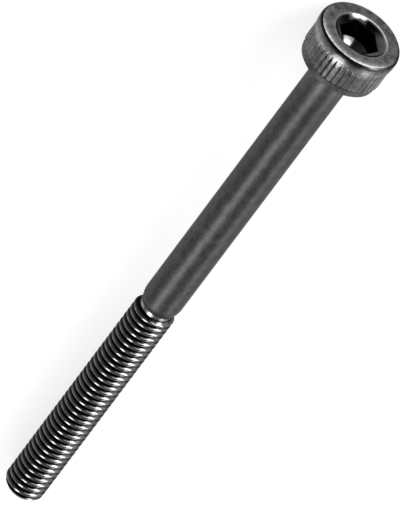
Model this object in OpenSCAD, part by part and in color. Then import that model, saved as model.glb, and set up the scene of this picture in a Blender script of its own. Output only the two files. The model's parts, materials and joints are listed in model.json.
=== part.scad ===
// Hex socket cap screw, M3 coarse thread on a plain shank, cold-forged in one piece.
// It lies on its side as it comes to rest: the band of the head and the last full crest at
// the tip touch z = 0, the head points along +X, and the origin is under the middle of the box.
// Inside the sub-part modules the screw stands on its axis, with the under-head face at
// z = 0, the head above it and the shank below.

/* [Length] */
// Length from the under-head face to the tip
length = 42.4; // [34:0.1:60]
// Length of the threaded end, tip included
thread_len = 18.4; // [8:0.1:28]

/* [Thread] */
// Diameter over the thread crests
thread_d = 2.87; // [2.8:0.01:3]
// Rise of the thread in one turn
pitch = 0.5; // [0.4:0.05:0.6]
// Angle between the two flanks of a ridge
flank_angle = 60; // [50:1:70]
// Width of the flat on a crest
crest_flat = 0.06; // [0.04:0.01:0.1]
// Width of the flat in a root
root_flat = 0.1; // [0.06:0.01:0.14]
// Turn of the whole thread about the screw's axis
thread_turn = 0; // [0:5:355]
// Length of the bevel where the thread starts behind the neck
thread_start_len = 0.2; // [0.1:0.05:0.4]
// Diameter of the flat end face at the tip
tip_d = 2.28; // [2:0.01:2.5]
// Length of the bevel at the tip
tip_len = 0.35; // [0.2:0.05:0.8]

/* [Shank] */
// Diameter of the plain shank
shank_d = 2.76; // [2.6:0.01:2.86]
// Diameter of the neck where the shank meets the thread
neck_d = 2.34; // [2.2:0.01:2.5]
// Length over which the shank narrows to the neck
neck_len = 1.15; // [0.6:0.05:2]
// Radius of the round shoulder where the shank starts to narrow
shoulder_r = 2; // [0.5:0.1:3]
// Radius of the fillet under the head
fillet_r = 0.15; // [0.05:0.01:0.3]

/* [Head] */
// Height of the head
head_h = 2.95; // [2.8:0.05:3.4]
// Diameter of the plain band above the knurl
band_d = 5.74; // [5.68:0.01:6]
// Diameter of the flat top face
top_face_d = 5.43; // [5:0.01:5.6]
// Height of the bevel round the top face
top_bevel_h = 0.1; // [0.05:0.01:0.3]
// Diameter of the plain land below the knurl
land_d = 5.37; // [5.2:0.01:5.37]
// Bevel of the land's lower edge
land_bevel = 0.05; // [0.02:0.01:0.1]

/* [Knurl] */
// Number of grooves in the knurl
knurl_count = 45; // [31:2:55]
// Diameter over the ridges of the knurl
knurl_d = 5.58; // [5.58:0.01:5.68]
// Depth of the grooves
knurl_depth = 0.1; // [0.06:0.01:0.1]
// Angle between the two sides of a groove
knurl_angle = 90; // [60:1:100]
// Height of the knurl's lower end above the under-head face
knurl_z = 0.43; // [0.2:0.01:0.6]
// Height of the short slope from the land to the ridges
knurl_lead = 0.13; // [0.05:0.01:0.2]
// Height of the straight ridges
knurl_h = 1.22; // [0.8:0.01:1.4]
// Height over which the grooves run out into the band
knurl_runout = 0.58; // [0.3:0.01:0.7]
// Height of the grooves' points above the lower edge of the band
groove_point = 0.05; // [0.03:0.01:0.1]

/* [Socket] */
// Width across the flats of the hexagon
hex_af = 2.55; // [2.4:0.01:2.7]
// Depth of the hexagon below the top face
hex_depth = 1.4; // [1:0.05:1.7]
// Turn of the hexagon about the screw's axis
hex_turn = 31.5; // [0:0.5:60]
// Diameter of the countersink in the top face
countersink_d = 3.71; // [3.4:0.01:4.1]
// Slope of the countersink below the top face
countersink_slope = 30; // [20:1:45]
// Diameter of the round pit below the hexagon
pit_d = 2.42; // [2:0.01:2.5]
// Angle of the pit's cone
pit_angle = 120; // [90:1:140]

/* [Hidden] */
$fn = 96;

// Extra reach of a cutting tool beyond the surface that it enters
overcut = 0.5;
// Steps in a quarter of a round edge
arc_steps = 6;
// Steps in one turn of the thread
thread_sides = 20;
// Room between the crests and the outline that trims the thread's ends
trim_gap = 0.01;
// Length of the thread's core inside the neck
neck_overlap = 0.1;

// Heights in the head
ridge_z = knurl_z + knurl_lead;
ridge_top_z = ridge_z + knurl_h;
band_z = ridge_top_z + knurl_runout;
groove_r = knurl_d / 2 - knurl_depth;

// Heights along the shank, which runs downwards from the under-head face
thread_z = thread_len - length;
neck_z = thread_z + neck_len;

// Sizes of the thread's ridge, and the turns that reach past both of its ends
flank_h = (pitch - crest_flat - root_flat) / 2;
thread_root_r = thread_d / 2 - flank_h / tan(flank_angle / 2);
thread_core_r = min(thread_root_r * cos(180 / thread_sides), neck_d / 2) - trim_gap;
helix_z = -length - 1.5 * pitch;
helix_turns = ceil((thread_len + neck_overlap) / pitch) + 3;

// Angle of the straight part of the neck, and where its round shoulder meets it
neck_drop = (shank_d - neck_d) / 2;
neck_shoulder_r = min(shoulder_r, (pow(neck_len, 2) + pow(neck_drop, 2)) / (2 * neck_drop));
neck_slope = neck_angle(neck_drop, neck_len, neck_shoulder_r);

// Sizes of the socket
hex_corner_r = hex_af / 2 / cos(30);
countersink_h = (countersink_d - pit_d) / 2 * tan(countersink_slope);
pit_h = pit_d / 2 / tan(pit_angle / 2);

// Rest on a flat surface: the band's lower edge and the last full crest at the tip touch it
rest_tilt = atan((band_d / 2 - thread_d / 2) / (band_z + length - tip_len));
rest_z = band_d / 2 * cos(rest_tilt) - band_z * sin(rest_tilt);
rest_x = ((length - head_h) * cos(rest_tilt) + (tip_d - top_face_d) / 2 * sin(rest_tilt)) / 2;

// Slope of a line that is tangent to an arc of radius r and drops by h over a length l
function neck_angle(h, l, r) = 2 * atan((l - sqrt(l * l + h * h - 2 * h * r)) / (2 * r - h));

// Points of an arc from angle a0 to angle a1 about a centre
function arc(cx, cy, r, a0, a1) = [
    for (i = [0 : arc_steps])
        let (a = a0 + (a1 - a0) * i / arc_steps) [cx + r * cos(a), cy + r * sin(a)]
];

// Half outline of neck, shank and head, from the end of the thread up to the top face
function body_outline() = concat(
    [
        [0, thread_z],
        [neck_d / 2, thread_z]
    ],
    arc(shank_d / 2 - neck_shoulder_r, neck_z, neck_shoulder_r, -neck_slope, 0),
    arc(shank_d / 2 + fillet_r, -fillet_r, fillet_r, 180, 90),
    [
        [land_d / 2 - land_bevel, 0],
        [land_d / 2, land_bevel],
        [land_d / 2, knurl_z],
        [knurl_d / 2, ridge_z],
        [knurl_d / 2, ridge_top_z],
        [band_d / 2, band_z],
        [band_d / 2, head_h - top_bevel_h],
        [top_face_d / 2, head_h],
        [0, head_h]
    ]
);

// Half outline that trims the thread: flat end and bevel at the tip, bevel at the neck
function thread_outline() = [
    [0, -length],
    [tip_d / 2, -length],
    [thread_d / 2 + trim_gap, tip_len - length],
    [thread_d / 2 + trim_gap, thread_z - thread_start_len],
    [thread_core_r, thread_z + neck_overlap],
    [0, thread_z + neck_overlap]
];

// One pitch of the thread as points of radius and height: root, flank, crest
function thread_profile() = [
    [thread_root_r, 0],
    [thread_root_r, root_flat],
    [thread_d / 2, root_flat + flank_h],
    [thread_d / 2, root_flat + flank_h + crest_flat]
];

// Endless thread as one closed skin: four strips wind up the axis, each turn joined to the
// next, and a fan of triangles closes each end
module helix_rod() {
    profile = thread_profile();
    k = len(profile);
    steps = helix_turns * thread_sides;
    rows = [
        for (i = [0 : steps], p = profile)
            let (a = 360 * i / thread_sides, z = helix_z + pitch * i / thread_sides + p[1])
                [p[0] * cos(a), p[0] * sin(a), z]
    ];
    bottom = len(rows);
    top = bottom + 1;
    ends = [[0, 0, helix_z - pitch / 4], [0, 0, helix_z + pitch * (helix_turns + 1)]];
    strips = [
        for (i = [0 : steps - 1], j = [0 : k - 1])
            let (up = j < k - 1 ? k * i + j + 1 : k * (i + thread_sides))
                if (up + k < bottom) [k * i + j, up, up + k, k * (i + 1) + j]
    ];
    lower = concat([for (i = [0 : thread_sides]) k * i], [for (j = [k - 1 : -1 : 1]) j]);
    upper = concat(
        [for (i = [steps - thread_sides : steps]) k * i + k - 1],
        [for (j = [k - 2 : -1 : 0]) k * steps + j]
    );
    lower_fan = [for (i = [0 : len(lower) - 1]) [bottom, lower[i], lower[(i + 1) % len(lower)]]];
    upper_fan = [for (i = [0 : len(upper) - 1]) [top, upper[(i + 1) % len(upper)], upper[i]]];
    polyhedron(concat(rows, ends), concat(strips, lower_fan, upper_fan));
}

// The threaded end: the endless thread, cut off at the tip and at the neck
module thread() {
    intersection() {
        rotate(thread_turn) helix_rod();
        rotate_extrude() polygon(thread_outline());
    }
}

// Straight V-shaped tool with its edge along z, opening outwards along x
module v_tool(h) {
    reach = band_d / 2;
    half_w = reach * tan(knurl_angle / 2);
    linear_extrude(h) polygon([[0, 0], [reach, -half_w], [reach, half_w]]);
}

// One groove of the knurl: straight, then leaning outwards until it leaves the band
module knurl_groove() {
    lean = atan((band_d / 2 - groove_r) / (knurl_runout + groove_point));
    translate([groove_r, 0, knurl_z - overcut]) v_tool(ridge_top_z - knurl_z + overcut);
    translate([groove_r, 0, ridge_top_z]) rotate([0, lean, 0]) v_tool(knurl_runout + overcut);
}

// All grooves round the head
module knurl_grooves() {
    for (i = [0 : knurl_count - 1])
        rotate(i * 360 / knurl_count) knurl_groove();
}

// Space of the key: countersink, hexagon and the round pit below it
module socket() {
    translate([0, 0, head_h - hex_depth]) rotate(hex_turn)
        cylinder(r = hex_corner_r, h = hex_depth + overcut, $fn = 6);
    translate([0, 0, head_h - countersink_h])
        cylinder(d1 = pit_d, d2 = countersink_d, h = countersink_h);
    translate([0, 0, head_h]) cylinder(d = countersink_d, h = overcut);
    translate([0, 0, head_h - hex_depth - pit_h])
        cylinder(d1 = 0, d2 = pit_d, h = pit_h);
}

// The screw on its own axis
module upright_screw() {
    difference() {
        rotate_extrude() polygon(body_outline());
        knurl_grooves();
        socket();
    }
    thread();
}

// The screw as it lies
module cap_screw() {
    color([0.2, 0.2, 0.21])
        translate([rest_x, 0, rest_z]) rotate([0, 90 - rest_tilt, 0]) upright_screw();
}

cap_screw();
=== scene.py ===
"""A black hex socket cap screw that lies on a white table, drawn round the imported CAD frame.

Sizes and heights of the screw are in millimetres, as on a drawing, and all other lengths are in
metres. Heights run along the screw's axis, from the under-head face towards the top of the head.
Angles round the axis start at the lower side of the screw as it lies: 90 degrees is towards +Y,
180 degrees is the upper side and 270 degrees is towards -Y. Functions take them in radians, and
the tables of wear give them in degrees.
"""
import json
import math

import bmesh
import bpy
from mathutils import Matrix, Vector


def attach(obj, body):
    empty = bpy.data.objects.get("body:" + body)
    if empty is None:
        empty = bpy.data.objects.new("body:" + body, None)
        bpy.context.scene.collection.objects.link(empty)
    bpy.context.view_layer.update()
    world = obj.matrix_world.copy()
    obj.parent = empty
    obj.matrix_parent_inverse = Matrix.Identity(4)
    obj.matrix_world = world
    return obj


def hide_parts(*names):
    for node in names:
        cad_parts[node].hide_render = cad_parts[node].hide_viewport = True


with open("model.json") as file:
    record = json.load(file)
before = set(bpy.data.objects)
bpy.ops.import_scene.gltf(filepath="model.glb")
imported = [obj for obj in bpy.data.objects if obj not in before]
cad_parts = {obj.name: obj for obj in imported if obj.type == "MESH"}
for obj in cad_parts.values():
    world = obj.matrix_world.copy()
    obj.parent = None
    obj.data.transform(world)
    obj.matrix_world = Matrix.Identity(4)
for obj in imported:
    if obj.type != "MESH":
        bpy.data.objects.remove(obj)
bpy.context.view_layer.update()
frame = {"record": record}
MM = 0.001

# Lengths of the screw
LENGTH = 42.4
THREAD_LEN = 18.4
HEAD_H = 2.95
TIP_Z = -LENGTH
THREAD_TOP_Z = THREAD_LEN - LENGTH

# Thread: the shift moves the ridges along the axis, and the spare turns reach past its ends
THREAD_R = 2.87 / 2
PITCH = 0.5
THREAD_DEPTH = 0.23
THREAD_START_LEN = 0.2
THREAD_SHIFT = -0.125
SPARE_TURNS = 3
TIP_R = 2.28 / 2
TIP_LEN = 0.35
END_FACE_INSET = 0.02

# Shank and neck
SHANK_R = 2.76 / 2
NECK_R = 2.34 / 2
NECK_LEN = 1.15
WAIST_LEN = 0.3
SHOULDER_R = 2.0
FILLET_R = 0.15

# Head: the band is a hair narrower than the CAD's, to stay inside its box, and LIP_ROUND is the
# radius at the rim of the top face and at the lip of the countersink
BAND_R = 5.739 / 2
TOP_FACE_R = 5.43 / 2
BAND_ROUND_H = 0.32
LIP_ROUND = 0.09
LAND_R = 5.37 / 2
LAND_BEVEL = 0.05

# Knurl
KNURL_COUNT = 45
KNURL_R = 5.58 / 2
KNURL_DEPTH = 0.1
KNURL_HALF_ANGLE = math.radians(45)
KNURL_Z = 0.43
KNURL_LEAD = 0.13
KNURL_H = 1.22
KNURL_RUNOUT = 0.58
GROOVE_POINT = 0.05
RIDGE_Z = KNURL_Z + KNURL_LEAD
RIDGE_TOP_Z = RIDGE_Z + KNURL_H
BAND_Z = RIDGE_TOP_Z + KNURL_RUNOUT

# Unevenness of the rolled knurl, as shares of the spacing and of the depth
KNURL_SHIFT = 0.05
KNURL_MEAN_DEPTH = 0.85
KNURL_DEPTH_SPREAD = 0.15

# Socket
HEX_HALF_AF = 2.55 / 2
HEX_DEPTH = 1.4
HEX_TURN = 31.5
COUNTERSINK_R = 3.71 / 2
PIT_R = 2.42 / 2
HEX_FLOOR_Z = HEAD_H - HEX_DEPTH

# Samples round the axis: each knurl groove has 16, and the others divide the head's
HEAD_SIDES = KNURL_COUNT * 16
PIT_SIDES = HEAD_SIDES // 6
SHANK_SIDES = HEAD_SIDES // 12

# Steps along the axis or along an outline
SHOULDER_STEPS = 8
FILLET_STEPS = 5
SHANK_STEPS = 24
LEAD_STEPS = 3
RIDGE_STEPS = 5
RUNOUT_STEPS = 13
LIP_STEPS = 3
COUNTERSINK_STEPS = 7
WALL_STEPS = 3
PIT_STEPS = 8

# Faces that meet at more than this angle have a sharp edge between them
SHARP_ANGLE = math.radians(38)
MERGE_DISTANCE = 0.002 * MM

mounts = {m["name"]: m for m in frame["record"]["mounts"]}
AXIS = Vector(mounts["hex_socket"]["axis"]).normalized()
TOP = Vector(mounts["hex_socket"]["pos_m"])
UNDER_HEAD = TOP - AXIS * HEAD_H * MM
SIDE = Vector((0.0, 1.0, 0.0))
DOWN = SIDE.cross(AXIS).normalized()


def to_world(point):
    """A point of the upright screw in millimetres, as a point of the frame in metres."""
    x, y, z = point
    return UNDER_HEAD + (DOWN * x + SIDE * y + AXIS * z) * MM


def at(value, angle):
    """A value that may be a plain number or a function of the angle."""
    return value(angle) if callable(value) else value


def between(value, points):
    """Height at a position on the straight lines through (position, height) points."""
    if value <= points[0][0]:
        return points[0][1]
    for (x0, y0), (x1, y1) in zip(points, points[1:]):
        if value <= x1:
            return y0 + (y1 - y0) * (value - x0) / (x1 - x0)
    return points[-1][1]


def around(angle, points):
    """Like between, for a table whose positions are degrees round the axis."""
    return between(math.degrees(angle) % 360, points)


# Materials of the skin, in the order of FINISHES
THREAD, SHANK, KNURL, HEAD, SOCKET = range(5)


class Surface:
    """Points and faces of the screw's skin. Each point carries its wear and painted highlight, and
    its soot and painted shade.
    """

    def __init__(self):
        self.points = []
        self.wear_and_highlight = []
        self.soot_and_shade = []
        self.faces = []
        self.materials = []
        self.smooth = []

    def add_point(self, radius, angle, z, wear_and_highlight=0.0, soot_and_shade=0.0):
        self.points.append((radius * math.cos(angle), radius * math.sin(angle), z))
        self.wear_and_highlight.append(wear_and_highlight)
        self.soot_and_shade.append(soot_and_shade)
        return len(self.points) - 1

    def add_face(self, corners, material, smooth=True):
        self.faces.append(tuple(corners))
        self.materials.append(material)
        self.smooth.append(smooth)

    def ring(self, sides, radius, z, wear_and_highlight=0.0, soot_and_shade=0.0):
        """A closed row of points. Each argument is a number or a function of the angle."""
        row = []
        for i in range(sides):
            angle = 2 * math.pi * i / sides
            row.append(self.add_point(at(radius, angle), angle, at(z, angle),
                                      at(wear_and_highlight, angle), at(soot_and_shade, angle)))
        return row

    def join(self, lower, upper, material, smooth=True):
        """Faces between two rows whose lengths are equal, or one a multiple of the other."""
        n_low, n_up = len(lower), len(upper)
        if n_low == n_up:
            for i in range(n_low):
                j = (i + 1) % n_low
                self.add_face((lower[i], lower[j], upper[j], upper[i]), material, smooth)
            return
        few, many, flip = (lower, upper, False) if n_low < n_up else (upper, lower, True)
        step = len(many) // len(few)
        for i in range(len(few)):
            fan = [many[(i * step + k) % len(many)] for k in range(step + 1)]
            corners = [few[i], few[(i + 1) % len(few)]] + fan[::-1]
            self.add_face(corners[::-1] if flip else corners, material, smooth)

    def join_all(self, rows, material):
        for lower, upper in zip(rows, rows[1:]):
            self.join(lower, upper, material)

    def close(self, row, z, material, facing_up, soot_and_shade=0.0, smooth=True):
        """A fan from a row to one point on the axis."""
        tip = self.add_point(0.0, 0.0, z, soot_and_shade=soot_and_shade)
        for i in range(len(row)):
            j = (i + 1) % len(row)
            corners = (row[i], row[j], tip) if facing_up else (row[j], row[i], tip)
            self.add_face(corners, material, smooth)


# (height, radius) of the outline that trims the thread at the tip and at the neck
THREAD_OUTLINE = [
    (TIP_Z, TIP_R),
    (TIP_Z + TIP_LEN, THREAD_R),
    (THREAD_TOP_Z - THREAD_START_LEN, THREAD_R),
    (THREAD_TOP_Z, NECK_R)]

# How dark the bevel at the neck is painted as shade, at heights of the thread
THREAD_END_SHADE = [(THREAD_TOP_Z - THREAD_START_LEN / 4, 0.0), (THREAD_TOP_Z, 1.0)]

# How bright the painted highlight on a flank is
FLANK_HIGHLIGHT = 0.4


def flank_highlight(angle):
    """Where the flanks that face the head carry a painted highlight in place of painted shade: on
    the upper side towards -Y.
    """
    return around(angle, [(206, 0.0), (217, 1.0), (240, 1.0), (255, 0.0)])


def crest_wear_and_highlight(angle):
    """Crest wear with a painted highlight, brightest along the upper side."""
    return around(angle, [
        (90, 0.3), (150, 0.5), (168, 0.85), (186, 0.85), (200, 0.4), (240, 0.3)])


def thread_profile():
    """One pitch of the thread, root to root: (height, depth below the crest, wear and painted
    highlight, soot and painted shade).

    The crest and the root are round. The crests are bare, partly from wear and partly as a painted
    highlight, and the flanks and roots are painted dark as shade. The list gives the rising half,
    which the other half mirrors.
    """
    rising = [
        (0.0, THREAD_DEPTH, 0.0, 1.0),
        (0.03, 0.212, 0.0, 1.0),
        (0.06, 0.17, 0.0, 1.0),
        (0.09, 0.12, 0.0, 0.9),
        (0.12, 0.075, 0.0, 0.7),
        (0.145, 0.043, 0.0, 0.4),
        (0.17, 0.017, 0.1, 0.15),
        (0.19, 0.004, 0.9, 0.0),
        (0.205, 0.001, 1.0, 0.0),
    ]
    falling = [(PITCH - height, drop, wear_and_lit, soot_and_shade) for height, drop, wear_and_lit, soot_and_shade in rising[:0:-1]]
    return rising + [(PITCH / 2, 0.0, 1.0, 0.0)] + falling


def thread_point(skin, angle, rise, height, drop, wear_and_highlight, soot_and_shade):
    """One point of the ridge. rise is the height at which its pitch starts."""
    z = min(max(rise + height, TIP_Z), THREAD_TOP_Z)
    radius = min(THREAD_R - drop, between(z, THREAD_OUTLINE))
    # Painted shade on the bevel at the neck
    end_shade = between(z, THREAD_END_SHADE)
    # Flanks that face the head take a painted highlight on one side. Crests take their wear and
    # painted highlight.
    faces_head = height > PITCH / 2 and soot_and_shade < 1.0
    lit_flank = flank_highlight(angle) if faces_head else 0.0
    worn_and_lit = max(wear_and_highlight * crest_wear_and_highlight(angle), FLANK_HIGHLIGHT * lit_flank) * (1 - end_shade)
    return skin.add_point(radius, angle, z, worn_and_lit, max(end_shade, soot_and_shade * (1 - lit_flank)))


def thread_surface(skin):
    """The helical ridge as one strip that winds up the axis, each turn joined to the next."""
    profile = thread_profile()
    turns = math.ceil((THREAD_TOP_Z - TIP_Z) / PITCH) + SPARE_TURNS
    start_z = TIP_Z - SPARE_TURNS / 2 * PITCH + THREAD_SHIFT
    rows = []
    for i in range(turns * SHANK_SIDES + 1):
        angle = 2 * math.pi * i / SHANK_SIDES
        rise = start_z + PITCH * i / SHANK_SIDES
        rows.append([thread_point(skin, angle, rise, *part) for part in profile])
    for i in range(len(rows) - 1):
        here, beside = rows[i], rows[i + 1]
        for j in range(len(profile) - 1):
            skin.add_face((here[j], beside[j], beside[j + 1], here[j + 1]), THREAD)
        if i + 1 + SHANK_SIDES < len(rows):
            above, above_beside = rows[i + SHANK_SIDES], rows[i + 1 + SHANK_SIDES]
            skin.add_face((here[-1], beside[-1], above_beside[0], above[0]), THREAD)


def end_face(skin):
    """The flat face at the tip. Its inner ring keeps the thread's painted shade off the face."""
    inner = skin.ring(SHANK_SIDES, TIP_R - END_FACE_INSET, TIP_Z)
    outer = skin.ring(SHANK_SIDES, TIP_R, TIP_Z)
    skin.join(inner, outer, THREAD, smooth=False)
    skin.close(inner, TIP_Z, THREAD, facing_up=False, smooth=False)


def neck_outline():
    """(radius, z) from the straight waist up to the plain shank: a cone with a round shoulder."""
    drop = SHANK_R - NECK_R
    length = NECK_LEN - WAIST_LEN
    radius = min(SHOULDER_R, (length ** 2 + drop ** 2) / (2 * drop))
    root = math.sqrt(max(0.0, length ** 2 + drop ** 2 - 2 * drop * radius))
    slope = 2 * math.atan((length - root) / (2 * radius - drop))
    shoulder_z = THREAD_TOP_Z + NECK_LEN
    angles = [slope * (1 - k / SHOULDER_STEPS) for k in range(SHOULDER_STEPS + 1)]
    return [(SHANK_R - radius * (1 - math.cos(a)), shoulder_z - radius * math.sin(a))
            for a in angles]


def fillet_outline():
    """(radius, z) of the fillet under the head, from the shank outwards."""
    angles = [math.pi / 2 * k / FILLET_STEPS for k in range(FILLET_STEPS + 1)]
    centre_r = SHANK_R + FILLET_R
    return [(centre_r - FILLET_R * math.cos(a), -FILLET_R + FILLET_R * math.sin(a)) for a in angles]


def waist_highlights(angle):
    """Painted highlights on the waist: three bright spots, brightest in the middle of the upper
    side.
    """
    return around(angle, [
        (110, 0.1), (125, 0.6), (140, 0.6), (150, 0.15), (158, 0.3), (167, 1.0), (183, 1.0),
        (192, 0.2), (212, 0.1), (222, 0.5), (234, 0.5), (246, 0.1)])


def waist_rows(skin):
    """Rows of the straight waist above the thread, the last of them without the painted highlights.
    """
    bare_and_highlight = 0.6
    levels = [(0.0, 0.0), (0.05, bare_and_highlight), (WAIST_LEN - 0.06, bare_and_highlight), (WAIST_LEN, 0.0)]
    return [skin.ring(SHANK_SIDES, NECK_R, THREAD_TOP_Z + height,
                      lambda a, share=share: share * waist_highlights(a)) for height, share in levels]


def shank_surface(skin):
    """Waist, neck, plain shank and fillet. Returns the row where the under-head face starts."""
    neck, fillet = neck_outline(), fillet_outline()
    waist = waist_rows(skin)
    z0, z1 = neck[-1][1], fillet[0][1]
    plain = [(SHANK_R, z0 + (z1 - z0) * k / SHANK_STEPS) for k in range(1, SHANK_STEPS)]
    # The shank is painted lighter just under the head, as painted light against the head's shade
    under_head_lightening = [(-3.0, 0.0), (-1.0, 0.3), (0.0, 0.3)]
    rows = [skin.ring(SHANK_SIDES, r, z, between(z, under_head_lightening)) for r, z in neck + plain + fillet]
    skin.join_all(waist, HEAD)
    skin.join_all([waist[-1]] + rows, SHANK)
    return rows[-1]


def ripple(index, salt):
    """A repeatable number from -1 to 1 for the given groove, from a common sine hash."""
    return math.modf(math.sin(index * 12.9898 + salt * 78.233) * 43758.5453)[0]


def ridge_radius(z):
    """Radius of the head without its grooves, at a height from the land to the band."""
    return between(z, [
        (KNURL_Z, LAND_R),
        (RIDGE_Z, KNURL_R),
        (RIDGE_TOP_Z, KNURL_R),
        (BAND_Z, BAND_R)])


def knurled_radius(angle, z):
    """Radius of the head at a height in the knurl, with V grooves that run out at the top."""
    spacing = 2 * math.pi / KNURL_COUNT
    index = round(angle / spacing) % KNURL_COUNT
    offset = (angle + spacing / 2) % spacing - spacing / 2
    shift = KNURL_SHIFT * spacing * ripple(index, 1)
    depth = KNURL_DEPTH * (KNURL_MEAN_DEPTH + KNURL_DEPTH_SPREAD * ripple(index, 2))
    lean = (BAND_R - KNURL_R + KNURL_DEPTH) / (KNURL_RUNOUT + GROOVE_POINT)
    groove = KNURL_R - depth + max(0.0, z - RIDGE_TOP_Z) * lean
    spread = abs(offset - shift)
    wall = groove / (math.cos(spread) - math.sin(spread) / math.tan(KNURL_HALF_ANGLE))
    return min(ridge_radius(z), wall)


def groove_share(angle, z):
    """0 on a ridge of the knurl and 1 in the lower part of a groove."""
    gain = 1.3
    return min(1.0, (ridge_radius(z) - knurled_radius(angle, z)) / KNURL_DEPTH * gain)


def knurl_side_shade(angle):
    """Painted shade: the knurl is darker towards +Y, and on the upper side towards -Y, as the photo
    shows.
    """
    return around(angle, [
        (110, 0.4), (138, 0.35), (150, 0.15), (160, 0.0), (184, 0.0), (191, 0.3), (226, 0.4),
        (238, 0.1), (250, 0.0)])


def band_highlight(angle, z):
    """A painted highlight on the side of the head, brightest at the lower edge of the band, on the
    upper side.
    """
    return between(z, [
        (RIDGE_Z, 0.02), (RIDGE_TOP_Z, 0.05), (BAND_Z - 0.2, 0.2), (BAND_Z, 0.2),
        (BAND_Z + 0.1, 0.1), (BAND_Z + 0.25, 0.05), (HEAD_H - 0.2, 0.0)
    ]) * around(angle, [
        (120, 1.5), (145, 1.5), (155, 1.8), (168, 1.3), (178, 1.3), (186, 1.9), (195, 1.1)])


def knurl_heights():
    """Heights of the knurl's rows: its lead, one row just above it, the ridges and the run-out."""
    above_lead = 0.07
    runout = KNURL_RUNOUT + GROOVE_POINT
    return (
        [KNURL_Z + KNURL_LEAD * k / LEAD_STEPS for k in range(1, LEAD_STEPS + 1)]
        + [RIDGE_Z + above_lead]
        + [RIDGE_Z + KNURL_H * k / RIDGE_STEPS for k in range(1, RIDGE_STEPS + 1)]
        + [RIDGE_TOP_Z + runout * k / RUNOUT_STEPS for k in range(1, RUNOUT_STEPS + 1)])


def knurl_rows(skin):
    """Rows of the knurl, from the top of the land to the lower edge of the band."""
    # Painted shade: a dark shadow line at the knurl's lead, and darker grooves, darkest in the
    # run-out
    lead_shadow = [(KNURL_Z, 0.5), (RIDGE_Z - 0.05, 0.9), (RIDGE_Z, 0.9), (RIDGE_Z + 0.06, 0.0)]
    groove_shade = [(RIDGE_Z, 0.15), (RIDGE_TOP_Z - 0.15, 0.25), (RIDGE_TOP_Z + 0.1, 0.9)]
    notch_width = [(RIDGE_TOP_Z - 0.1, 1.0), (RIDGE_TOP_Z + 0.1, 1.6)]
    rows = []
    for z in knurl_heights():
        def soot_and_shade(angle, z=z):
            side_shade = knurl_side_shade(angle) * between(z, [(RIDGE_TOP_Z, 1.0), (BAND_Z, 0.0)])
            notch = min(1.0, groove_share(angle, z) * between(z, notch_width))
            return max(notch * between(z, groove_shade), between(z, lead_shadow), side_shade)

        # Painted highlight on the knurl's ridges
        def wear_and_highlight(angle, z=z):
            return (1 - groove_share(angle, z)) * band_highlight(angle, z)

        rows.append(skin.ring(HEAD_SIDES, lambda a, z=z: knurled_radius(a, z), z, wear_and_highlight, soot_and_shade))
    return rows


def land_rows(skin):
    """Rows of the plain land below the knurl, with the bevel of its lower edge."""
    fade_len = 0.1
    outline = [
        (LAND_R - LAND_BEVEL, 0.0, 0.5),
        (LAND_R, LAND_BEVEL, 0.45),
        (LAND_R, KNURL_Z - fade_len, 0.45),
        (LAND_R, KNURL_Z, 0.5)]
    return [skin.ring(HEAD_SIDES, radius, z, soot_and_shade=soot_and_shade) for radius, z, soot_and_shade in outline]


def band_shoulder():
    """(radius, z) of the round shoulder that leads from the band to the edge of the top face."""
    drop = BAND_R - TOP_FACE_R
    radius = (drop ** 2 + BAND_ROUND_H ** 2) / (2 * drop)
    last = math.asin(BAND_ROUND_H / radius)
    angles = [last * k / SHOULDER_STEPS for k in range(SHOULDER_STEPS + 1)]
    return [(BAND_R - radius * (1 - math.cos(a)), HEAD_H - BAND_ROUND_H + radius * math.sin(a))
            for a in angles]


def rounded_corner(before, corner, after):
    """Points that round off one corner of an outline with a short arc."""
    a, c, b = Vector(before), Vector(corner), Vector(after)
    to_a, to_b = (a - c).normalized(), (b - c).normalized()
    half = to_a.angle(to_b) / 2
    reach = LIP_ROUND / math.tan(half)
    centre = c + (to_a + to_b).normalized() * LIP_ROUND / math.sin(half)
    first, last = c + to_a * reach - centre, c + to_b * reach - centre
    points = []
    for k in range(LIP_STEPS + 1):
        mixed = (first * (LIP_STEPS - k) + last * k).normalized() * LIP_ROUND
        points.append(tuple(centre + mixed))
    return points


def dark_patch(angle, z):
    """A black patch on the band, under the rim."""
    return around(angle, [(182, 0.0), (190, 1.0), (198, 1.0), (208, 0.0)]) * (
        between(z, [(BAND_Z + 0.05, 0.0), (BAND_Z + 0.25, 0.5), (BAND_Z + 0.4, 0.9)]))


def rim_shade(angle, z):
    """Painted shade: the round shoulder is black below the rim, a little less on the upper side
    towards -Y.
    """
    height_shade = between(z, [(HEAD_H - 0.22, 0.0), (HEAD_H - 0.15, 0.85), (HEAD_H - 0.05, 1.0)])
    side = around(angle, [(205, 1.0), (222, 0.5), (240, 0.6), (260, 1.0)])
    return max(height_shade * side, dark_patch(angle, z))


def rim_highlight(angle):
    """A painted highlight on the rim of the top face, brightest on the upper side."""
    return around(angle, [
        (70, 0.0), (110, 0.2), (140, 1.0), (185, 0.75), (200, 1.2), (222, 1.2),
        (245, 0.3), (275, 0.0)])


def rim_side_shade(angle):
    """Painted shade: the rim is dark on its far sides, most towards -Y."""
    return around(angle, [
        (40, 0.3), (60, 0.5), (105, 0.5), (125, 0.0), (235, 0.0), (252, 0.8), (300, 0.8),
        (320, 0.3)])


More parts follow.
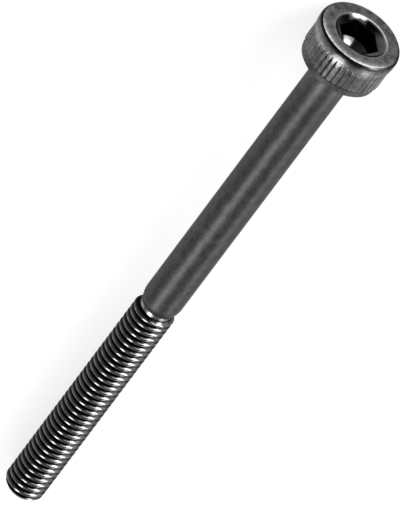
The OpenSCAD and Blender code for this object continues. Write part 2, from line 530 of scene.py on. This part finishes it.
def band_rows(skin):
    """Rows of the band, its round shoulder and the rim of the top face.

    The rim's first row still belongs to the shoulder that is painted black as shade.
    """
    plain_z = BAND_Z + 0.12
    edge_rubbed, edge_shade = 0.1, 0.9
    shoulder = band_shoulder()
    rows = [skin.ring(HEAD_SIDES, BAND_R, plain_z, lambda a: band_highlight(a, plain_z))]
    rows += [skin.ring(HEAD_SIDES, r, z, lambda a, z=z: band_highlight(a, z),
                       lambda a, z=z: rim_shade(a, z)) for r, z in shoulder[:-1]]
    rim = rounded_corner(shoulder[-2], shoulder[-1], (COUNTERSINK_R, HEAD_H))
    rows.append(skin.ring(HEAD_SIDES, *rim[0], edge_rubbed, edge_shade))
    rows += [skin.ring(HEAD_SIDES, r, z, rim_highlight, rim_side_shade) for r, z in rim[1:]]
    return rows


def head_side(skin, start):
    """Under-head face, land, knurl, band and the rim of the top face. Returns the top row."""
    rows = land_rows(skin) + knurl_rows(skin)
    runout_row = len(rows) - 1 - RUNOUT_STEPS
    rows += band_rows(skin)
    skin.join(start, rows[0], KNURL)
    skin.join_all(rows[:runout_row + 1], KNURL)
    skin.join_all(rows[runout_row:], HEAD)
    return rows[-1]


def hex_radius(angle):
    """Distance from the axis to the hexagon's wall."""
    side = math.radians(60)
    from_corner = (angle - math.radians(HEX_TURN)) % side
    return HEX_HALF_AF / math.cos(from_corner - side / 2)


def countersink_z(radius):
    """Height of the countersink, a shallow bowl that is steepest at its lip."""
    return HEAD_H - between(COUNTERSINK_R - radius, [
        (0.0, 0.0), (0.1, 0.1), (0.2, 0.185), (0.3, 0.245), (0.45, 0.305), (0.65, 0.36)])


def pit_z(radius):
    """Height of the round pit below the hexagon, steepest at its rim."""
    return HEX_FLOOR_Z - between(PIT_R - radius, [
        (0.0, 0.0), (0.2, 0.2), (0.4, 0.38), (0.6, 0.52), (0.85, 0.64), (PIT_R, 0.72)])


def lip_highlight(angle):
    """A painted highlight on the countersink's lip, on the lower side and towards -Y."""
    return around(angle, [
        (15, 1.3), (25, 1.0), (45, 0.2), (230, 0.1), (270, 0.4), (310, 1.0), (335, 1.3)])


def countersink_shade(angle, share):
    """Painted shade lies in the countersink in patches: 0 is clear and 1 is black.

    share runs from 0 at the lip to 1 at the hexagon. The lower side is clear along the lip only.
    """
    film_and_shade = around(angle, [
        (5, 1.0), (12, 0.0), (46, 0.0), (54, 1.0), (150, 1.0),
        (185, 0.35), (250, 0.2), (310, 0.35), (332, 0.85), (340, 1.0)])
    lower_side = math.degrees(angle) < 90
    inner = between(share, [(0.5, 0.0), (0.7, 1.0)] if lower_side else [(0.3, 0.0), (1.0, 0.7)])
    return max(film_and_shade, inner)


def pit_highlight_spot(angle, share):
    """A painted highlight spot in the pit, which is elsewhere painted dark as shade: share runs
    from 0 at its rim to 1 in its middle.
    """
    return around(angle, [(6, 0.0), (28, 1.0), (58, 1.0), (80, 0.0)]) * (
        between(share, [(0.08, 0.0), (0.25, 1.0), (0.5, 1.0), (0.7, 0.0)]))


def top_face_rows(skin):
    """Rows of the flat top face, from its rim to the lip of the countersink, with painted
    highlights that fade from both onto the face.

    Returns them and the radius at which the bowl of the countersink starts.
    """
    width = TOP_FACE_R - COUNTERSINK_R
    shares = [(0.11, 0.7), (0.2, 0.32), (0.34, 0.14), (0.52, 0.05), (0.7, 0.0), (0.86, 0.05)]
    rows = [skin.ring(HEAD_SIDES, TOP_FACE_R - width * share, HEAD_H,
                      lambda angle, wear_and_highlight=wear_and_highlight: wear_and_highlight * rim_highlight(angle))
            for share, wear_and_highlight in shares]
    slope_len = 0.1
    bowl_r = COUNTERSINK_R - slope_len
    lip = rounded_corner((TOP_FACE_R, HEAD_H), (COUNTERSINK_R, HEAD_H),
                         (bowl_r, countersink_z(bowl_r)))
    lip_shares = (0.4, 0.7, 0.7, 0.3)
    for (r, z), share in zip(lip, lip_shares):
        rows.append(skin.ring(HEAD_SIDES, r, z, lambda angle, share=share: share * lip_highlight(angle)))
    return rows, lip[-1][0]


def countersink_rows(skin, lip_r):
    """Rows of the countersink, from a round lip to the hexagon."""
    rows = []
    for k in range(1, COUNTERSINK_STEPS + 1):
        def radius_of(angle, share=k / COUNTERSINK_STEPS):
            return lip_r + (hex_radius(angle) - lip_r) * share

        rows.append(skin.ring(HEAD_SIDES, radius_of, lambda a, f=radius_of: countersink_z(f(a)),
                              soot_and_shade=lambda a, share=k / COUNTERSINK_STEPS: countersink_shade(a, share)))
    return rows


def hexagon_rows(skin):
    """Rows of the hexagon's walls, painted dark as shade, from the countersink down to the floor.
    """
    recess_shade = 0.9
    rows = []
    for k in range(1, WALL_STEPS + 1):
        def z_of(angle, share=k / WALL_STEPS):
            top = countersink_z(hex_radius(angle))
            return top + (HEX_FLOOR_Z - top) * share

        rows.append(skin.ring(HEAD_SIDES, hex_radius, z_of, soot_and_shade=recess_shade))
    return rows


def pit_rows(skin, recess_shade, bare_and_highlight):
    """Rows of the round pit, from its rim inwards, painted dark as shade but for one painted
    highlight spot.
    """
    rows = []
    for k in range(PIT_STEPS):
        share = k / PIT_STEPS
        radius = PIT_R * (1 - share)
        rows.append(skin.ring(PIT_SIDES, radius, pit_z(radius),
                              lambda a, share=share: bare_and_highlight * pit_highlight_spot(a, share),
                              lambda a, share=share: recess_shade - recess_shade * pit_highlight_spot(a, share)))
    return rows


def socket_surface(skin, start):
    """Top face, countersink, hexagon and the round pit at its bottom."""
    top_rows, lip_r = top_face_rows(skin)
    skin.join_all([start] + top_rows, HEAD)
    # Painted shade in the pit, and the strength of its painted highlight spot
    pit_shade, pit_highlight_level = 0.8, 0.2
    rows = [top_rows[-1]] + countersink_rows(skin, lip_r) + hexagon_rows(skin)
    rows += pit_rows(skin, pit_shade, pit_highlight_level)
    skin.join_all(rows, SOCKET)
    skin.close(rows[-1], pit_z(0.0), SOCKET, facing_up=True, soot_and_shade=pit_shade)


def screw_mesh():
    """The whole skin of the screw as one closed mesh in the frame's metres."""
    skin = Surface()
    thread_surface(skin)
    end_face(skin)
    under_head = shank_surface(skin)
    top_row = head_side(skin, under_head)
    socket_surface(skin, top_row)
    mesh = bpy.data.meshes.new("cap_screw_skin")
    mesh.from_pydata([to_world(p) for p in skin.points], [], skin.faces)
    mesh.polygons.foreach_set("material_index", skin.materials)
    mesh.polygons.foreach_set("use_smooth", skin.smooth)
    # Per-point wear together with painted highlights, and soot together with painted shade, for the
    # materials
    for name, values in (("wear_and_highlight", skin.wear_and_highlight), ("soot_and_shade", skin.soot_and_shade)):
        layer = mesh.attributes.new(name, "FLOAT", "POINT")
        layer.data.foreach_set("value", values)
    return mesh


def weld(obj):
    """Merge the rows that meet, drop faces without area and mark the sharp edges."""
    work = bmesh.new()
    work.from_mesh(obj.data)
    bmesh.ops.remove_doubles(work, verts=work.verts, dist=MERGE_DISTANCE)
    bmesh.ops.dissolve_degenerate(work, edges=work.edges, dist=MERGE_DISTANCE / 2)
    bmesh.ops.recalc_face_normals(work, faces=work.faces)
    work.to_mesh(obj.data)
    open_edges = sum(1 for e in work.edges if not e.is_manifold)
    print("open edges", open_edges, "faces", len(work.faces))
    work.free()
    obj.data.set_sharp_from_angle(angle=SHARP_ANGLE)


class Nodes:
    """A short way to write the nodes of a material or of the world."""

    # Sockets of a Mix node that carry the factor and the two colours, and its colour output
    MIX_INPUTS = (0, 6, 7)
    MIX_OUTPUT = 2

    def __init__(self, owner):
        owner.use_nodes = True
        self.owner = owner
        self.tree = owner.node_tree
        self.tree.nodes.clear()

    def add(self, kind, inputs=None, **settings):
        node = self.tree.nodes.new(kind)
        for key, value in settings.items():
            setattr(node, key, value)
        for key, value in (inputs or {}).items():
            self.set(node, key, value)
        return node

    def set(self, node, key, value):
        if isinstance(value, bpy.types.NodeSocket):
            self.tree.links.new(value, node.inputs[key])
        else:
            node.inputs[key].default_value = value

    def noise(self, scale, detail, roughness=0.6, vector=None):
        node = self.add("ShaderNodeTexNoise", {"Scale": scale, "Detail": detail,
                                               "Roughness": roughness})
        if vector is not None:
            self.set(node, "Vector", vector)
        return node.outputs["Fac"]

    def attribute(self, name):
        return self.add("ShaderNodeAttribute", attribute_name=name).outputs["Fac"]

    def math(self, operation, a, b):
        return self.add("ShaderNodeMath", {0: a, 1: b}, operation=operation).outputs[0]

    def ramp(self, value, low, high):
        """A colour ramp between two (position, shade) stops."""
        node = self.add("ShaderNodeValToRGB", {"Fac": value})
        for element, (position, shade) in zip(node.color_ramp.elements, (low, high)):
            element.position = position
            element.color = grey(shade)
        return node.outputs["Color"]

    def map_range(self, value, low, high, to_low, to_high):
        node = self.add("ShaderNodeMapRange", {"Value": value, "From Min": low, "From Max": high,
                                               "To Min": to_low, "To Max": to_high})
        return node.outputs["Result"]

    def mix(self, factor, a, b):
        inputs = dict(zip(self.MIX_INPUTS, (factor, a, b)))
        return self.add("ShaderNodeMix", inputs, data_type="RGBA").outputs[self.MIX_OUTPUT]

    def bump(self, height, strength, distance):
        node = self.add("ShaderNodeBump", {"Height": height, "Strength": strength,
                                           "Distance": distance})
        return node.outputs["Normal"]

    def finish(self, shader, output="ShaderNodeOutputMaterial"):
        self.add(output, {"Surface": shader})
        return self.owner


def grey(value):
    """A shade of grey, a touch blue as the oxide is."""
    return (value, value, value * 1.01, 1.0)


# Spots to the metre in the oxide's three noises. The finest one also shifts the mottled shade
# by GRAIN_SHADE up or down, and its bumps have a height of their own.
MOTTLE_SCALE = 2000.0
SPECKLE_SCALE = 4200.0
GRAIN_SCALE = 9000.0
GRAIN_SHADE = 0.12
GRAIN_HEIGHT = 0.02 * MM

# One row for each of THREAD, SHANK, KNURL, HEAD and SOCKET. dark and light are the shades of the
# film, rough its lowest and highest roughness, the bare shade that of a rubbed edge and of a
# painted highlight, and the soot shade that of the deepest soot and painted shade. bump is the
# strength of the grain, and edge dims the light at grazing angles.
FINISHES = (
    dict(name="oiled_thread", dark=0.045, light=0.065, rough=(0.14, 0.2),
         bare_and_highlight=0.28, soot_and_shade_grey=0.002, bump=0.02, edge=0.5),
    dict(name="matte_shank", dark=0.053, light=0.086, rough=(0.4, 0.46),
         bare_and_highlight=0.18, soot_and_shade_grey=0.02, bump=0.3, edge=0.6),
    dict(name="knurled_side", dark=0.08, light=0.2, rough=(0.46, 0.56),
         bare_and_highlight=0.6, soot_and_shade_grey=0.006, bump=0.25, edge=1.0),
    dict(name="satin_head", dark=0.06, light=0.15, rough=(0.24, 0.36),
         bare_and_highlight=0.75, soot_and_shade_grey=0.004, bump=0.3, edge=0.5),
    dict(name="socket_oxide", dark=0.07, light=0.11, rough=(0.14, 0.2),
         bare_and_highlight=0.6, soot_and_shade_grey=0.002, bump=0.02, edge=0.85),
)


def oxide_material(name, dark, light, rough, bare_and_highlight, soot_and_shade_grey, bump, edge):
    """Black oxide on steel: mottled film, soot and painted shade in hollows, and bare metal where
    edges are rubbed and where highlights are painted.
    """
    n = Nodes(bpy.data.materials.new(name))
    place = n.add("ShaderNodeTexCoord").outputs["Object"]
    mottle = n.noise(MOTTLE_SCALE, 6.0, 0.65, place)
    speckle = n.noise(SPECKLE_SCALE, 3.0, 0.6, place)
    grain = n.noise(GRAIN_SCALE, 3.0, 0.5, place)
    fine = n.map_range(grain, 0.3, 0.7, -GRAIN_SHADE, GRAIN_SHADE)
    film_and_shade = n.ramp(n.math("ADD", mottle, fine), (0.36, dark), (0.64, light))
    # Soot and painted shade darken the film, and rubbed wear and painted highlights turn it to bare
    # metal
    film_and_shade = n.mix(n.attribute("soot_and_shade"), film_and_shade, grey(soot_and_shade_grey))
    patchy = n.map_range(speckle, 0.35, 0.65, 0.45, 1.15)
    colour = n.mix(n.math("MULTIPLY", n.attribute("wear_and_highlight"), patchy), film_and_shade, grey(bare_and_highlight))
    roughness = n.map_range(mottle, 0.3, 0.7, *rough)
    shader = n.add("ShaderNodeBsdfPrincipled", {
        "Base Color": colour, "Metallic": 1.0, "Roughness": roughness,
        "Specular Tint": grey(edge), "Normal": n.bump(grain, bump, GRAIN_HEIGHT)})
    return n.finish(shader.outputs["BSDF"])


def add_screw():
    obj = bpy.data.objects.new("cap_screw_body", screw_mesh())
    bpy.context.scene.collection.objects.link(obj)
    weld(obj)
    for finish in FINISHES:
        obj.data.materials.append(oxide_material(**finish))
    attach(obj, "root")
    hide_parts("cap_screw")


# The photograph's view: image size in pixels, cosine of the angle between the screw and the line
# of sight, turn of the screw in the picture, scale, and the pixel of the under-head face's middle
IMAGE_W, IMAGE_H = 400, 505
SENSOR = 36.0
FOCAL_PX = 10000.0
COS_VIEW = 0.602
ROLL = math.radians(36.9)
PX_PER_M = 15910.0
UNDER_HEAD_PX = (338.5, 65.4)
CLIP_START, CLIP_END = 0.01, 10.0


def view_axes():
    """Right, up and back of the camera, which stands in the upright plane through the screw."""
    sin_view = math.sqrt(1 - COS_VIEW ** 2)
    back = (AXIS * COS_VIEW - DOWN * sin_view).normalized()
    along = (AXIS - back * COS_VIEW).normalized()
    across = along.cross(back)
    right = across * math.cos(ROLL) + along * math.sin(ROLL)
    up = along * math.cos(ROLL) - across * math.sin(ROLL)
    return right, up, back


def add_camera():
    right, up, back = view_axes()
    distance = FOCAL_PX / PX_PER_M
    x, y = UNDER_HEAD_PX
    place = UNDER_HEAD + back * distance
    place -= right * (x - IMAGE_W / 2) / PX_PER_M
    place += up * (y - IMAGE_H / 2) / PX_PER_M
    data = bpy.data.cameras.new("camera")
    data.sensor_width = SENSOR
    data.lens = FOCAL_PX / IMAGE_H * SENSOR
    data.clip_start = CLIP_START
    data.clip_end = CLIP_END
    camera = bpy.data.objects.new("camera", data)
    turn = Matrix((right, up, back)).transposed()
    camera.matrix_world = Matrix.Translation(place) @ turn.to_4x4()
    bpy.context.scene.collection.objects.link(camera)
    bpy.context.scene.camera = camera


# White paper: half the width of the sheet, its shade and that shade's variation, the spots to the
# metre, and the glow that lifts what the camera and the metal see of it to plain white
TABLE_HALF = 0.6
PAPER = 0.6
PAPER_VARIATION = 0.01
PAPER_SCALE = 300.0
PAPER_GLOW = 0.54

# The studio's light on matt surfaces, and its brightness in mirrored rays that go steeply up
WORLD_FILL = 0.6
CEILING = 0.35
CEILING_RISE = 0.6

# Lamps: name, direction from the screw (along the axis, up, to the right), distance, width,
# height and radiance
LAMPS = (
    ("overhead_softbox", (-0.67, 0.73, -0.13), 0.5, 0.17, 0.26, 6.5),
    ("right_softbox", (-0.6, 0.24, 0.765), 0.5, 0.1, 0.14, 5.5),
    ("front_right_panel", (0.6, 0.155, 0.785), 0.4, 0.32, 0.13, 15.0),
    ("front_panel", (0.81, 0.4, 0.42), 0.4, 0.16, 0.12, 11.0),
)


def rays_of_kinds(n, names):
    """1 for a ray of one of the kinds that are named, and 0 for any other."""
    path = n.add("ShaderNodeLightPath")
    total = path.outputs[names[0]]
    for name in names[1:]:
        total = n.math("MAXIMUM", total, path.outputs[name])
    return total


def floor_material():
    """White paper that takes a shadow and looks plain white outside it."""
    n = Nodes(bpy.data.materials.new("white_table"))
    paper = n.noise(PAPER_SCALE, 3.0)
    colour = n.ramp(paper, (0.3, PAPER - PAPER_VARIATION), (0.7, PAPER + PAPER_VARIATION))
    diffuse = n.add("ShaderNodeBsdfDiffuse", {"Color": colour, "Roughness": 0.5})
    seen = rays_of_kinds(n, ("Is Camera Ray", "Is Glossy Ray", "Is Transmission Ray"))
    glow = n.add("ShaderNodeEmission", {"Strength": n.math("MULTIPLY", seen, PAPER_GLOW)})
    both = n.add("ShaderNodeAddShader", {0: diffuse.outputs["BSDF"], 1: glow.outputs["Emission"]})
    return n.finish(both.outputs["Shader"])


def add_floor():
    mesh = bpy.data.meshes.new("table")
    corners = [(x * TABLE_HALF, y * TABLE_HALF, 0) for x, y in ((-1, -1), (1, -1), (1, 1), (-1, 1))]
    mesh.from_pydata(corners, [], [(0, 1, 2, 3)])
    mesh.materials.append(floor_material())
    table = bpy.data.objects.new("table", mesh)
    bpy.context.scene.collection.objects.link(table)


def add_lamp(name, direction, distance, width, height, radiance):
    """A rectangular lamp that faces the middle of the screw."""
    along, upward, rightward = direction
    way = (AXIS * along - DOWN * upward - SIDE * rightward).normalized()
    centre = (UNDER_HEAD + to_world((0, 0, TIP_Z))) / 2
    data = bpy.data.lights.new(name, "AREA")
    data.shape = "RECTANGLE"
    data.size = width
    data.size_y = height
    data.energy = radiance * width * height * math.pi
    lamp = bpy.data.objects.new(name, data)
    lamp.location = centre + way * distance
    lamp.rotation_euler = way.to_track_quat("Z", "Y").to_euler()
    bpy.context.scene.collection.objects.link(lamp)


def add_world():
    """A plain white studio. The metal sees it dim towards the ceiling."""
    n = Nodes(bpy.data.worlds.new("studio"))
    direction = n.add("ShaderNodeTexCoord").outputs["Generated"]
    upward = n.add("ShaderNodeSeparateXYZ", {"Vector": direction}).outputs["Z"]
    mirrored = n.map_range(upward, 0.0, CEILING_RISE, 1.0, CEILING)
    glossy = rays_of_kinds(n, ("Is Glossy Ray",))
    direct = rays_of_kinds(n, ("Is Camera Ray", "Is Transmission Ray"))
    level = n.map_range(glossy, 0.0, 1.0, WORLD_FILL, mirrored)
    level = n.map_range(direct, 0.0, 1.0, level, 1.0)
    background = n.add("ShaderNodeBackground", {"Strength": level})
    background.inputs["Color"].default_value = (1.0, 1.0, 1.0, 1.0)
    bpy.context.scene.world = n.finish(background.outputs[0], "ShaderNodeOutputWorld")


add_screw()
add_floor()
add_camera()
for settings in LAMPS:
    add_lamp(*settings)
add_world()

scene = bpy.context.scene
scene.view_settings.view_transform = "Standard"
